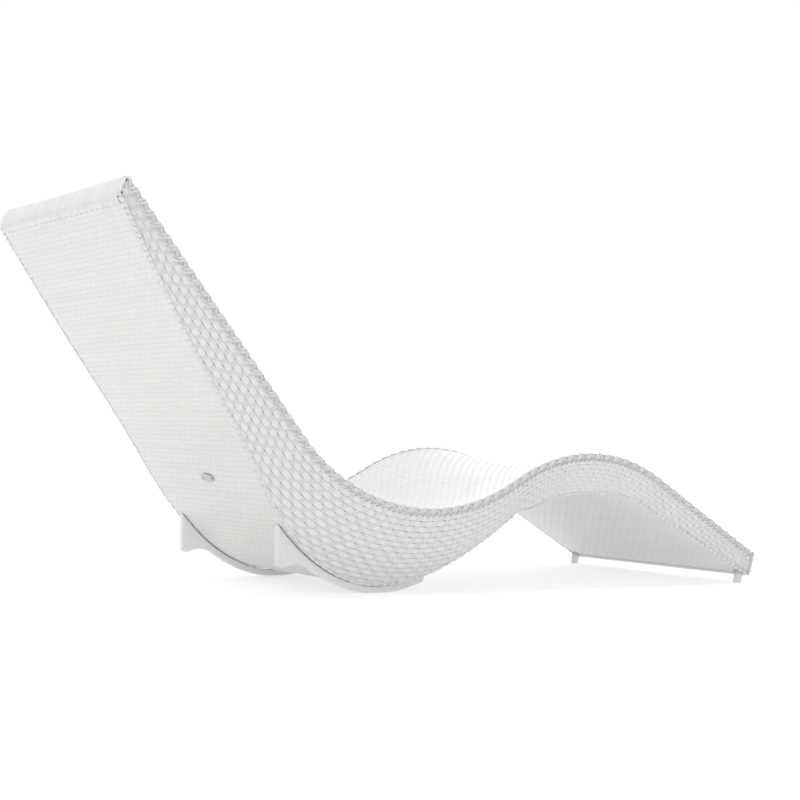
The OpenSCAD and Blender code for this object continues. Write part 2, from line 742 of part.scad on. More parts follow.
side_rail(true);  // rail_left
side_rail(false);  // rail_right
end_tube(head_tube_at, 0);  // head_tube
end_tube(-rail_rad - fit, last_station);  // foot_tube
dished_rib(upper_rib_at);  // upper_back_rib
dished_rib(middle_rib_at);  // middle_back_rib
dished_rib(lower_rib_at);  // lower_back_rib
dished_rib(seat_rib_at);  // seat_rib
dished_rib(thigh_rib_at);  // thigh_rib
dished_rib(knee_crest);  // knee_rib
dished_rib(leg_rib_at);  // leg_rib
lower_rod(true);  // lower_rod_left
lower_rod(false);  // lower_rod_right
lower_bar(upper_bar_at);  // upper_back_bar
lower_bar(lumbar_bar_at);  // lumbar_bar
lower_bar(skid_bars_at[0]);  // skid_bar_rear
lower_bar(skid_bars_at[1]);  // skid_bar_middle
lower_bar(skid_bars_at[2]);  // skid_bar_front
lower_bar(thigh_bar_at);  // thigh_bar
lower_bar(knee_bar_at);  // knee_bar
lower_bar(leg_bar_at);  // leg_bar
struts(true);  // struts_left
struts(false);  // struts_right
skid_tabs(true);  // skid_tabs_left
skid_tabs(false);  // skid_tabs_right
skid_screws(true);  // skid_screws_left
skid_screws(false);  // skid_screws_right
glide_socket(true);  // glide_socket_left
glide_socket(false);  // glide_socket_right
lying_weave();
underside_weave();
side_weave(true);  // side_weave_left
side_weave(false);  // side_weave_right
end_band(head_outline, rail(0), face_slope(0), head_depth);  // head_band
end_band(foot_outline, rail(last_station), face_slope(last_station), foot_depth);  // foot_band
rope_edge(true);  // rope_edge_left
rope_edge(false);  // rope_edge_right
lower_binding(true);  // lower_binding_left
lower_binding(false);  // lower_binding_right
skid(true);  // skid_left
skid(false);  // skid_right
foot_glide(true);  // foot_glide_left
foot_glide(false);  // foot_glide_right
badge_plate();
badge_rivets();
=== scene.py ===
"""Looks of the woven spa lounger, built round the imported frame. Metres; X runs from head to foot."""

import bpy
import numpy as np
from mathutils import Matrix, Vector


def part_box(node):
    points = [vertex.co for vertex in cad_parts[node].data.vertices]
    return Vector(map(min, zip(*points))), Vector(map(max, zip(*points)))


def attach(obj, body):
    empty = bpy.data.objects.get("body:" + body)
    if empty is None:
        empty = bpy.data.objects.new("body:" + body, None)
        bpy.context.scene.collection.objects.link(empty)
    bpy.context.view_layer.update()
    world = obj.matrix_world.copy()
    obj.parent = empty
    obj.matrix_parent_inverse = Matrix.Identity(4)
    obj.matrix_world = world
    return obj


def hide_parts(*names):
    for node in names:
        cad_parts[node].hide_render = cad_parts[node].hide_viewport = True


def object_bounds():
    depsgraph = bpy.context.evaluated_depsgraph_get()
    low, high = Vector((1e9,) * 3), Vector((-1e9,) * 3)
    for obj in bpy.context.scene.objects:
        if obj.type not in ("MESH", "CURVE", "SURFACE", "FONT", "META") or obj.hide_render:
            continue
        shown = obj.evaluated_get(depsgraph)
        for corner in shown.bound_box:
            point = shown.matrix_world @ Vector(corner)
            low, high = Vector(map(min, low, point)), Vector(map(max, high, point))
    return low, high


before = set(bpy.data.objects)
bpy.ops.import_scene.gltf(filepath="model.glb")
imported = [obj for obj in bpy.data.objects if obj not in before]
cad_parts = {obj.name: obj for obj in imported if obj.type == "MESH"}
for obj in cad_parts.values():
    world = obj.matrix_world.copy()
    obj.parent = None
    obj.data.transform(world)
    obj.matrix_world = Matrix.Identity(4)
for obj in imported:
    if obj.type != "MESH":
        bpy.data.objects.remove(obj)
cad_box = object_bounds()
MM = 0.001
rng = np.random.default_rng(7)

# Sizes of the body, as in the part's source; slopes, rakes and leans are in degrees
overall_w = 750 * MM
back_slope = 51
back_len = 699 * MM
seat_r = 456 * MM
thigh_slope = 28.4
thigh_len = 60 * MM
knee_r = 442 * MM
leg_slope = 30.7
foot_gap = 19 * MM
head_rake = 28
tail_rake = 17
seat_dish = 38 * MM
least_dish = 0.4 * MM
fit = 0.3 * MM
half_w = overall_w / 2

# Stations run along the body: 0 head end, 2 start of the seat bend, 4 its end, 5 start of the knee bend,
# 7 its end, 8 foot end. Each whole one has the sides' depth, how far the lower edges draw in, and its share
# of the dish.
last_station = 8
slope_step = 0.02
depths = np.array([54, 87, 121, 201, 95, 107, 108, 81, 69]) * MM
insets = np.array([0, 36, 62, 102, 35, 40, 55, 36, 5]) * MM
dish_share = np.array([0, 0.3, 0.75, 1, 1, 1, 1, 0.6, 0])

# Woven skins, rope edges, bindings and end bands
weave_t = 4.5 * MM
rope_w = 12 * MM
rope_h = 20 * MM
rope_proud = 3 * MM
side_recess = 3 * MM
side_bulge_share = 0.05
cord_d = 9 * MM
cord_rad = cord_d / 2
band_t = 6 * MM
rail_rad = 11 * MM
dish_half_w = half_w - rope_w - fit

# Skids and glides. A glide leans toward the foot from its sole, whose edge is the low X of its box.
skid_w = 19 * MM
skid_t = 17.5 * MM
skid_edge = 16.5 * MM
skid_rear = 358 * MM
skid_front = 36 * MM
skid_corner_r = 10 * MM
skid_round = 3.2 * MM
heel_clear = 67 * MM
heel_len = 18 * MM
heel_arch = 6.5 * MM
arch_len = 70 * MM
sole_cut = 1.3 * MM
skid_y = half_w - insets[3] - skid_edge
glide_d = 23 * MM
glide_lean = 12
glide_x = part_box("foot_glide_left")[0].x + glide_d / 2 / np.cos(np.radians(glide_lean))
glide_y = half_w - rope_w - fit - rail_rad


# Curves of the body
def toward(degrees):
    """Unit step in the plane of X and Z."""
    a = np.radians(degrees)
    return np.stack([np.cos(a), np.sin(a)], -1)


def heading(u):
    """Slope of the rope edge at station u."""
    return np.interp(u, [2, 4, 5, 7], [-back_slope, thigh_slope, thigh_slope, -leg_slope])


def smooth_at(values, u):
    """A smooth curve through values given at the whole stations."""
    u = np.asarray(u, float)
    last = len(values) - 1
    i = np.clip(np.floor(u).astype(int), 0, last - 1)
    t = u - i
    a, b = values[np.maximum(i - 1, 0)], values[i]
    c, d = values[i + 1], values[np.minimum(i + 2, last)]
    return (2 * b + (c - a) * t + (2 * a - 5 * b + 4 * c - d) * t**2 + (3 * b - a - 3 * c + d) * t**3) / 2


seat_in = seat_r * toward(-90 - back_slope)
seat_out = seat_r * toward(thigh_slope - 90)
knee_in = seat_out + thigh_len * toward(thigh_slope)
knee_centre = knee_in - knee_r * toward(thigh_slope + 90)
knee_out = knee_centre + knee_r * toward(90 - leg_slope)


def local_rail(u, length=0):
    """The rope edge before it is moved to its place, with a leg of this length."""
    u = np.asarray(u, float)[..., None]
    slope = heading(u[..., 0])
    back = seat_in - back_len * (2 - u) / 2 * toward(-back_slope)
    seat = seat_r * toward(slope - 90)
    thigh = seat_out + thigh_len * (u - 4) * toward(thigh_slope)
    knee = knee_centre + knee_r * toward(slope + 90)
    leg = knee_out + length * (u - 7) * toward(-leg_slope)
    return np.where(u < 2, back, np.where(u < 4, seat, np.where(u < 5, thigh, np.where(u < 7, knee, leg))))


def end_share(u):
    """How far a station is into the slanted end of the body, from 0 to 1."""
    return np.where(u < 1, (1 - u)**2, np.where(u > 7, (u - 7)**2, 0.0))


def face_slope(u):
    """Slope of the line from the rope edge down to the lower edge."""
    return heading(u) - 90 + end_share(u) * np.where(u < 1, head_rake, tail_rake)


def local_low(u, length=0):
    """The lower edge before it is moved to its place."""
    return local_rail(u, length) + smooth_at(depths, u)[..., None] * toward(face_slope(u))


# The seat stands on the skids' soles, and the leg is as long as the gap under the foot end asks
seat_low = local_low(np.arange(2, 4.001, slope_step))[:, 1].min()
lift = skid_t - sole_cut - seat_low
foot_drop = depths[last_station] * np.sin(np.radians(tail_rake - 90 - leg_slope))
leg_len = (knee_out[1] + lift + foot_drop - foot_gap) / np.sin(np.radians(leg_slope))
head_face = toward(face_slope(np.array(0.0)))
head_local = local_rail(np.array(0.0), leg_len)
shift_x = cad_box[0].x - (head_local[0] + (depths[0] - band_t) * head_face[0] - band_t)
shift = np.array([shift_x, lift])

# Tables along the body, with a row for each of the fine stations US. FACE points from the rope edge to the
# lower edge. DOWN and UP point into the body from these edges, slanted as its ends are, and go 1 square to
# them. DEPTH is measured along FACE, LOW_Y is the lower edge's distance from the middle, and DISH the depth
# of the dish.
US = np.linspace(0, last_station, 400 * last_station + 1)
RAIL = local_rail(US, leg_len) + shift
LOW = local_low(US, leg_len) + shift
MID = (RAIL + LOW) / 2
FACE = toward(face_slope(US))
before = np.maximum(US - slope_step, 0)
after = np.minimum(US + slope_step, last_station)
low_step = local_low(after, leg_len) - local_low(before, leg_len)
LOW_SLOPE = np.degrees(np.unwrap(np.arctan2(low_step[:, 1], low_step[:, 0])))
DOWN = FACE / np.cos(np.radians(face_slope(US) - heading(US) + 90))[:, None]
LOW_LEAN = end_share(US) * (face_slope(US) + 180 - LOW_SLOPE - 90)
UP = toward(LOW_SLOPE + 90 + LOW_LEAN) / np.cos(np.radians(LOW_LEAN))[:, None]
LOW_IN = toward(LOW_SLOPE + 90)
DEPTH = smooth_at(depths, US)
LOW_Y = half_w - smooth_at(insets, US)
DISH = np.maximum(least_dish, seat_dish * smooth_at(dish_share, US))


def length_of(curve):
    """Length along a curve from its start to each of its points."""
    return np.concatenate([[0], np.cumsum(np.linalg.norm(np.diff(curve, axis=0), axis=1))])


MID_S = length_of(MID)
RAIL_S = length_of(RAIL)


def at(table, u):
    """A table's row at station u."""
    if table.ndim == 1:
        return np.interp(u, US, table)
    return np.stack([np.interp(u, US, table[:, k]) for k in range(table.shape[1])], -1)


def xyz(p, y):
    """Points of the plane of X and Z, moved to y."""
    y = np.broadcast_to(y, p.shape[:-1])
    return np.stack([p[..., 0], y, p[..., 1]], -1)


def lying_at(u, y, h):
    """A point of the lying surface, h above the middle of the woven skin."""
    d = at(DISH, u)
    r = (dish_half_w**2 + d**2) / (2 * d)
    drop = d - r + np.sqrt(np.maximum(r**2 - y**2, 0))
    return xyz(at(RAIL, u) + (rope_proud + drop + weave_t / 2 - h)[..., None] * at(DOWN, u), y)


def under_at(u, y, h):
    """A point of the underside, h outside the middle of the woven skin."""
    return xyz(at(LOW, u) + (weave_t / 2 - h)[..., None] * at(UP, u), y)


def side_run(u):
    """Where a side starts under its rope edge, as y and depth, and its run from there to the lower edge."""
    y = half_w - side_recess
    depth = (rope_h + fit) * np.linalg.norm(at(DOWN, u), axis=-1)
    return y, depth, at(LOW_Y, u) - cord_rad - y, at(DEPTH, u) - depth


def side_at(u, dist, h):
    """A point of the left side: dist along the side from the rope edge, h outside its middle."""
    start_y, start_depth, run_y, run_depth = side_run(u)
    height = np.hypot(run_y, run_depth)
    share = dist / height
    out = side_bulge_share * height * 4 * share * (1 - share) + h - weave_t / 2
    y = start_y + share * run_y + out * run_depth / height
    depth = start_depth + share * run_depth - out * run_y / height
    return xyz(at(RAIL, u) + depth[..., None] * at(FACE, u), -y)


def rope_at(u, d, y):
    """A point of the rope edge: d down from its top, y from the body's middle plane."""
    return xyz(at(RAIL, u) + np.asarray(d)[..., None] * at(DOWN, u), y)


# Outlines across a strand, as shares of its width and thickness
FLAT = np.array([(-0.5, 0), (-0.45, -0.5), (0.45, -0.5), (0.5, 0), (0.45, 0.5), (-0.45, 0.5)])
OVAL = np.array([(np.cos(a) / 2, np.sin(a) / 2) for a in np.radians(np.arange(180, -180, -45))])
BOX = np.array([(-0.5, 0.35), (-0.5, -0.35), (-0.3, -0.5), (0.3, -0.5),
                (0.5, -0.35), (0.5, 0.35), (0.3, 0.5), (-0.3, 0.5)])


def unit(v):
    """Vectors made 1 long."""
    return v / np.maximum(np.linalg.norm(v, axis=-1, keepdims=True), 1e-12)


class Strands:
    """Strands gathered into one mesh, each with a tone and places along and across it."""

    def __init__(self):
        self.points, self.quads, self.caps, self.marks = [], [], [], []
        self.total = 0

    def add(self, centre, normal, width, thick, section=FLAT, height=1.0):
        """centre and normal are strands x points x 3; height runs from -1, dipping under, to 1, on top."""
        strands, steps, _ = centre.shape
        corners = len(section)
        tangent = unit(np.gradient(centre, axis=1))
        side = unit(np.cross(tangent, np.broadcast_to(normal, centre.shape)))
        up = np.cross(side, tangent)
        width = np.broadcast_to(np.asarray(width, float), (strands, steps))[..., None, None]
        thick = np.broadcast_to(np.asarray(thick, float), (strands, steps))[..., None, None]
        points = centre[:, :, None] + side[:, :, None] * section[:, 0, None] * width
        points = points + up[:, :, None] * section[:, 1, None] * thick
        self.points.append(points.reshape(-1, 3))

        first = self.total + (np.arange(strands) * steps * corners)[:, None]
        ring = first[..., None] + (np.arange(steps - 1) * corners)[None, :, None]
        a = ring + np.arange(corners)
        b = ring + (np.arange(corners) + 1) % corners
        self.quads.append(np.stack([a, a + corners, b + corners, b], -1).reshape(-1, 4)[:, ::-1])
        cap = first + np.arange(corners)
        self.caps += [cap[:, ::-1], cap + (steps - 1) * corners]

        tone = rng.random(strands)[:, None, None]
        height = np.broadcast_to(height, (strands, steps))[..., None]
        marks = [np.broadcast_to(mark, (strands, steps, corners)) for mark in (tone, height, section[:, 0])]
        self.marks.append(np.stack(marks, -1).reshape(-1, 3))
        self.total += strands * steps * corners

    def piece(self, name, material, slot, replaced):
        """Turns the gathered strands into one piece of the scene."""
        points = np.concatenate(self.points).astype(np.float32)
        quads = np.concatenate(self.quads)
        marks = np.concatenate(self.marks)
        loops = np.concatenate([quads.ravel()] + [cap.ravel() for cap in self.caps]).astype(np.int32)
        sizes = [np.full(len(quads), 4)] + [np.full(len(cap), cap.shape[1]) for cap in self.caps]
        sizes = np.concatenate(sizes).astype(np.int32)
        starts = np.concatenate([[0], np.cumsum(sizes)[:-1]]).astype(np.int32)
        mesh = bpy.data.meshes.new(name)
        mesh.vertices.add(len(points))
        mesh.vertices.foreach_set("co", points.ravel())
        mesh.loops.add(len(loops))
        mesh.loops.foreach_set("vertex_index", loops)
        mesh.polygons.add(len(sizes))
        mesh.polygons.foreach_set("loop_start", starts)
        mesh.update(calc_edges=True)
        mesh.polygons.foreach_set("use_smooth", np.ones(len(sizes), bool))
        for k, key in enumerate(("tone", "height", "across")):
            layer = mesh.attributes.new(key, "FLOAT", "POINT")
            layer.data.foreach_set("value", marks[:, k].astype(np.float32))
        dress(bpy.data.objects.new(name, mesh), material, replaced)


def dress(obj, material, replaced):
    """Puts a new piece on the body, with its material and the CAD node that it stands for."""
    bpy.context.scene.collection.objects.link(obj)
    obj.data.materials.append(material)
    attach(obj, "root")
    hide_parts(replaced)


# Materials
def node(tree, kind, **inputs):
    """A new node with inputs set or linked: _0 is its first input, From_Min the one called From Min."""
    n = tree.nodes.new(kind)
    for key, value in inputs.items():
        socket = n.inputs[int(key[1:])] if key[0] == "_" else n.inputs[key.replace("_", " ")]
        if isinstance(value, bpy.types.NodeSocket):
            tree.links.new(value, socket)
        else:
            socket.default_value = value
    return n


def maths(tree, operation, a, b=0.0):
    """Result of a Math node."""
    n = node(tree, "ShaderNodeMath", _0=a, _1=b)
    n.operation = operation
    return n.outputs[0]


def vector_maths(tree, operation, **inputs):
    """A Vector Math node."""
    n = node(tree, "ShaderNodeVectorMath", **inputs)
    n.operation = operation
    return n


def map_range(tree, value, start, end, low, high):
    """A Map Range node that turns start to end into low to high."""
    return node(tree, "ShaderNodeMapRange", Value=value, From_Min=start, From_Max=end,
                To_Min=low, To_Max=high)


def attribute(tree, name):
    """The value that a strand's mesh holds under a name."""
    n = node(tree, "ShaderNodeAttribute")
    n.attribute_name = name
    return n.outputs["Fac"]


def noise(tree, place, scale, detail):
    """Noise over the object's own coordinates."""
    return node(tree, "ShaderNodeTexNoise", Vector=place, Scale=scale, Detail=detail).outputs["Fac"]


def ramp(tree, factor, start, dark, end, light):
    """Colour that runs from dark at start to light at end."""
    n = node(tree, "ShaderNodeValToRGB", Fac=factor)
    low, high = n.color_ramp.elements
    low.position, low.color = start, (*dark, 1)
    high.position, high.color = end, (*light, 1)
    return n.outputs[0]


def new_material(name):
    """A material, its node tree, its main shader and the object's own coordinates."""
    material = bpy.data.materials.new(name)
    material.use_nodes = True
    tree = material.node_tree
    place = node(tree, "ShaderNodeTexCoord").outputs["Object"]
    return material, tree, tree.nodes["Principled BSDF"], place


def strand_material(name, light, dark, roughness, back_shade=1.0):
    """White synthetic strand: a tone of its own, fine ridges along it, and painted shade near its edges,
    where it meets its neighbours, and in its dips under them.

    The last argument darkens it toward the head end: a painted shade on the back's sides.
    """
    material, t, shader, place = new_material(name)
    across = attribute(t, "across")
    cloud = noise(t, place, scale=9.0, detail=3.0)
    grain = noise(t, place, scale=620.0, detail=2.0)
    # Painted shade: darker toward each edge of a strand, where it meets its neighbours
    edge = maths(t, "POWER", maths(t, "ABSOLUTE", maths(t, "MULTIPLY", across, 2.0)), 4.0)
    tone = maths(t, "MULTIPLY", attribute(t, "tone"), 0.55)
    mix = maths(t, "ADD", tone, maths(t, "MULTIPLY", cloud, 0.45))
    mix = maths(t, "ADD", mix, maths(t, "MULTIPLY", edge, -0.15))
    # Painted shade: darker where a strand dips under its neighbour
    dip_shade = map_range(t, attribute(t, "height"), start=-0.6, end=0.5, low=0.92, high=1.0)
    along = node(t, "ShaderNodeSeparateXYZ", Vector=place)
    # Painted shade: darker toward the head end of the body
    back = map_range(t, along.outputs["X"], start=-0.45, end=0.05, low=back_shade, high=1.0)
    shade = vector_maths(t, "SCALE", _0=ramp(t, mix, start=0.1, dark=dark, end=0.75, light=light))
    t.links.new(maths(t, "MULTIPLY", dip_shade.outputs[0], back.outputs[0]), shade.inputs["Scale"])
    t.links.new(shade.outputs[0], shader.inputs["Base Color"])
    ridges = maths(t, "SINE", maths(t, "MULTIPLY", across, 38.0))
    relief = maths(t, "ADD", maths(t, "MULTIPLY", ridges, 0.5), grain)
    bump = node(t, "ShaderNodeBump", Strength=0.35, Distance=0.0003, Height=relief)
    t.links.new(bump.outputs[0], shader.inputs["Normal"])
    rough = map_range(t, grain, start=0.0, end=1.0, low=roughness - 0.06, high=roughness + 0.1)
    t.links.new(rough.outputs[0], shader.inputs["Roughness"])
    thin = node(t, "ShaderNodeBsdfTranslucent", Color=(0.92, 0.92, 0.92, 1), Normal=bump.outputs[0])
    both = node(t, "ShaderNodeMixShader", Fac=0.2, _1=shader.outputs[0], _2=thin.outputs[0])
    t.links.new(both.outputs[0], t.nodes["Material Output"].inputs["Surface"])
    return material


def plain_material(name, light, dark, roughness, metallic=0.0):
    """Moulded or painted surface with faint cloudiness and a fine grain."""
    material, t, shader, place = new_material(name)
    cloud = noise(t, place, scale=60.0, detail=4.0)
    grain = noise(t, place, scale=1320.0, detail=2.0)
    colour = ramp(t, cloud, start=0.3, dark=dark, end=0.7, light=light)
    t.links.new(colour, shader.inputs["Base Color"])
    bump = node(t, "ShaderNodeBump", Strength=0.25, Distance=0.0002, Height=grain)
    t.links.new(bump.outputs[0], shader.inputs["Normal"])
    rough = map_range(t, grain, start=0.0, end=1.0, low=roughness - 0.05, high=roughness + 0.08)
    t.links.new(rough.outputs[0], shader.inputs["Roughness"])
    shader.inputs["Metallic"].default_value = metallic
    return material


white = strand_material("white_strand", (0.90, 0.90, 0.898), (0.85, 0.85, 0.848), 0.46)
side_white = strand_material("side_strand", (0.91, 0.91, 0.91), (0.87, 0.87, 0.87), 0.5)
# Painted shade: a copy of the side strand that is darker toward the head end
side_cross_shaded = strand_material("side_cross_strand", (0.91, 0.91, 0.91), (0.87, 0.87, 0.87), 0.5, 0.89)
edge_white = strand_material("edge_strand", (0.91, 0.91, 0.91), (0.84, 0.84, 0.84), 0.46)
# Painted shade: the rope core is a darker grey, so that the gaps of the plait over it look shaded
core_shade_grey = strand_material("edge_core", (0.80, 0.80, 0.80), (0.74, 0.74, 0.74), 0.55)
skid_white = plain_material("skid_plastic", (0.80, 0.80, 0.80), (0.77, 0.77, 0.77), 0.36)
glide_white = plain_material("glide_plastic", (0.80, 0.80, 0.80), (0.75, 0.75, 0.75), 0.4)
paint = plain_material("white_paint", (0.86, 0.86, 0.86), (0.80, 0.80, 0.80), 0.4)
steel = plain_material("screw_steel", (0.55, 0.55, 0.56), (0.42, 0.42, 0.43), 0.32, 1.0)
badge_metal = plain_material("badge_metal", (0.56, 0.56, 0.57), (0.47, 0.47, 0.48), 0.42, 0.2)

# Pitches of the weave: along and across the skins, and along the sides, whose rows are lower toward the
# foot. No side has more rows than MOST_ROWS.
PITCH_ALONG = 13.3 * MM
PITCH_ACROSS = 15.8 * MM
SIDE_ALONG = 15.4 * MM
ROW = np.interp(US, [2.6, 4.6], [15.4, 12.0]) * MM
MOST_ROWS = 17

# Strands: thickness, how far each goes over and under, widths, and sways to the side
STRAND_T = 0.44 * MM
LYING_WAVE = 0.25 * MM
UNDER_WAVE = 0.27 * MM
SIDE_WAVE = 0.24 * MM
CROSS_W = 16.5 * MM
LONG_W = 13.2 * MM
UNDER_LONG_W = 12.2 * MM
SIDE_CROSS_W = 7.8 * MM
SIDE_LONG_SHARE = 0.97
UNDER_SWAY = 0.5 * MM
SIDE_SWAY = np.interp(US, [1.8, 3.0, 4.2, 5.0], [0.018, 0.010, 0.010, 0.018])

# Most that a crowded crosswise strand takes of its pitch, what a long strand or a row needs clear of the
# edge, and how far a row may reach under the binding
CROWDED_SHARE = 0.965
UNDER_CROWDED_SHARE = 0.995
LONG_FREE_SHARE = 0.35
ROW_FREE_SHARE = 0.25
ROW_TUCK = 2 * MM

# Points to a turn of a strand, steps to a turn where a strand's ends are looked for, and pieces to a skin
STEPS = 4
FINE = 8
PIECES = 3
count = int(round(MID_S[-1] / PITCH_ALONG))
side_count = int(round(RAIL_S[-1] / SIDE_ALONG))
columns = int(round(2 * dish_half_w / PITCH_ACROSS))
pitch = 2 * dish_half_w / columns
column_shift = 0.5 * ((columns + 1) % 2)
column_y = (np.arange(columns) + 0.5) * pitch - dish_half_w
column_no = np.round(column_y / pitch + column_shift).astype(int)


def station(turn):
    """Station of a crossing, counted along the body; whole numbers are the crosswise strands."""
    return np.interp((turn + 0.5) * MID_S[-1] / count, MID_S, US)


def side_station(turn):
    """Station of a crossing of a side."""
    return np.interp((turn + 0.5) * RAIL_S[-1] / side_count, RAIL_S, US)


def wave(turn):
    """Swing of a strand, from 1 over a crossing to -1 under the next, with flatter tops than a sine."""
    c = np.cos(np.pi * turn)
    return c * (1.35 - 0.35 * c * c)


def way(number):
    """1 for an even number, -1 for an odd one."""
    return 1 - 2 * (number % 2)


def long_turns(first, last):
    """Turns at the points of a long strand."""
    n = int(round((last - first) * STEPS))
    return np.linspace(first, last, max(n, 2) + 1)


def spans(ok, turns):
    """First and last turn of each run in which ok holds, if it is over a turn long."""
    edges = np.flatnonzero(np.diff(np.concatenate([[0], ok.astype(int), [0]])))
    return [(turns[a], turns[b - 1]) for a, b in edges.reshape(-1, 2) if b - a > FINE]


def frame_normal(surface, u, across):
    """Outward normal of a surface, square to both of its directions."""
    u, across = np.broadcast_arrays(u, across)
    flat, du, step = np.zeros(u.shape), 1e-3, 0.1 * MM
    along = surface(u + du, across, flat) - surface(u - du, across, flat)
    over = surface(u, across + step, flat) - surface(u, across - step, flat)
    normal = np.cross(along, over)
    layer = surface(u, across, flat + step) - surface(u, across, flat)
    return unit(normal * np.sign((normal * layer).sum(-1, keepdims=True)))


def crowded(surface, u, across, width, share):
    """Width of crosswise strands, which narrow where a bend of the body crowds them."""
    c = surface(u, across, np.zeros(np.broadcast(u, across).shape))
    return np.minimum(width, share * np.linalg.norm(np.gradient(c, axis=0), axis=-1))


def cross_strands(surface, half_width, swing, share, name, skin):
    """Crosswise strands of a skin from edge to edge, shared out over its pieces."""
    crossed = int(round(2 * half_width.max() / pitch))
    places = np.linspace(-1, 1, crossed * STEPS + 1)
    for k, group in enumerate(np.array_split(np.arange(count), PIECES)):
        u = station(group)[:, None] + 0 * places
        y = half_width[group][:, None] * places
        h = -swing * wave(y / pitch + column_shift) * way(group)[:, None]
        width = crowded(surface, u, y, CROSS_W, share)
        sheet = Strands()
        sheet.add(surface(u, y, h), frame_normal(surface, u, y), width, STRAND_T, height=h / swing)
        sheet.piece(f"{name}_{k + 1}", white, skin, skin)


def lying_surface():
    """The dished lying surface."""
    half_width = np.full(count, dish_half_w)
    cross_strands(lying_at, half_width, LYING_WAVE, CROWDED_SHARE, "lying_cross_strands", "lying_weave")
    turns = long_turns(-0.5, count - 0.5)
    for k, group in enumerate(np.array_split(np.arange(columns), PIECES)):
        u = np.broadcast_to(station(turns), (len(group), len(turns)))
        y = np.broadcast_to(column_y[group][:, None], u.shape)
        h = LYING_WAVE * wave(turns) * way(column_no[group])[:, None]
        sheet = Strands()
        sheet.add(lying_at(u, y, h), frame_normal(lying_at, u, y), LONG_W, STRAND_T, height=h / LYING_WAVE)
        sheet.piece(f"lying_long_strands_{k + 1}", white, "lying_weave", "lying_weave")


def underside():
    """The underside, whose long strands stop where the body gets too narrow for them."""
    half_width = at(LOW_Y, station(np.arange(count))) - cord_d - fit
    cross_strands(under_at, half_width, UNDER_WAVE, UNDER_CROWDED_SHARE, "underside_cross_strands",
                  "underside_weave")
    fine = np.linspace(-0.5, count - 0.5, count * FINE + 1)
    free = at(LOW_Y, station(fine)) - cord_d - fit
    sheets = [Strands() for _ in range(PIECES)]
    for k, middle in enumerate(column_y):
        for first, last in spans(np.abs(middle) + LONG_W * LONG_FREE_SHARE < free, fine):
            turns = long_turns(first, last)
            u = station(turns)[None]
            y = middle + UNDER_SWAY * np.sin(np.pi * turns)[None] * way(column_no[k])
            h = UNDER_WAVE * wave(turns)[None] * way(column_no[k])
            sheets[k * PIECES // columns].add(under_at(u, y, h), frame_normal(under_at, u, y), UNDER_LONG_W,
                                              STRAND_T, height=h / UNDER_WAVE)
    for k, sheet in enumerate(sheets):
        sheet.piece(f"underside_long_strands_{k + 1}", white, "underside_weave", "underside_weave")


side_fine = np.linspace(-0.5, side_count - 0.5, side_count * FINE + 1)
_, _, side_run_y, side_run_depth = side_run(side_station(side_fine))
side_height = np.hypot(side_run_y, side_run_depth)
side_turns = np.arange(side_count)
side_u = side_station(side_turns)


def side_weave(flip, side):
    """One side: crosswise strands from the rope edge to the binding, and rows along it."""
    def surface(u, dist, h):
        """A point of this side; the right one, with flip -1, mirrors the left one."""
        return side_at(u, dist, h) * np.array([1, flip, 1])

    height = np.interp(side_turns, side_fine, side_height) - cord_rad
    places = np.linspace(0, 1, (MOST_ROWS - 1) * STEPS + 1)
    u = side_u[:, None] + 0 * places
    dist = height[:, None] * places
    h = -SIDE_WAVE * wave(dist / at(ROW, u) - 0.5) * way(side_turns)[:, None]
    width = crowded(surface, u, dist, SIDE_CROSS_W, CROWDED_SHARE)
    sheet = Strands()
    sheet.add(surface(u, dist, h), frame_normal(surface, u, dist), width, STRAND_T, height=h / SIDE_WAVE)
    sheet.piece(f"side_cross_strands_{side}", side_cross_shaded, "side_weave", f"side_weave_{side}")

    rows = Strands()
    row_fine = at(ROW, side_station(side_fine))
    for k in range(MOST_ROWS):
        for first, last in spans((k + ROW_FREE_SHARE) * row_fine < side_height - cord_rad, side_fine):
            turns = long_turns(first, last)
            u = side_station(turns)[None]
            h = SIDE_WAVE * wave(turns)[None] * way(k)
            row, sway, swing = at(ROW, u), at(SIDE_SWAY, u), np.sin(np.pi * turns)
            width = (SIDE_LONG_SHARE - (2 * sway + SIDE_LONG_SHARE - 1) * swing**2) * row
            dist = (k + 0.5 + sway * swing * way(k)) * row
            upper = dist - width / 2
            lower = np.interp(turns, side_fine, side_height) - cord_rad + ROW_TUCK
            lower = np.minimum(dist + width / 2, lower)
            rows.add(surface(u, (lower + upper) / 2, h), frame_normal(surface, u, dist), lower - upper,
                     STRAND_T, height=h / SIDE_WAVE)
    rows.piece(f"side_long_strands_{side}", side_white, "side_weave", f"side_weave_{side}")


lying_surface()
underside()
side_weave(1, "left")
side_weave(-1, "right")

# Strands of a rope edge, in millimetres: middle of the swing down from the top and in from the side, swing
# down and to the side, width and thickness. The last two numbers are the turns to a link and the share of a
# turn at the start.
ROPE_STRANDS = (
    (8.6, 5.6, 7.0, 4.4, 6.4, 2.2, 1, 0),
    (8.6, 5.6, 7.0, 4.4, 6.4, 2.2, 1, 0.26),
    (8.6, 6.0, 5.6, 3.2, 6.0, 1.8, -1, 0.3),
    (20.0, 3.8, 2.8, 1.5, 4.6, 2.4, 1, 0.3),
    (20.0, 3.8, 2.8, 1.5, 4.6, 2.4, 1, 0.8))
ROPE_LINK = 2 * RAIL_S[-1] / side_count
ROPE_END = 0.5 * MM
ROPE_STEP = 1.3 * MM
ROPE_CORE_DOWN = 12.2 * MM
ROPE_CORE_IN = 0.6 * MM
ROPE_CORE_W = 18.0 * MM
ROPE_CORE_T = 4.6 * MM
rope_s = np.arange(ROPE_END, RAIL_S[-1] - ROPE_END, ROPE_STEP)
rope_u = np.interp(rope_s, RAIL_S, US)


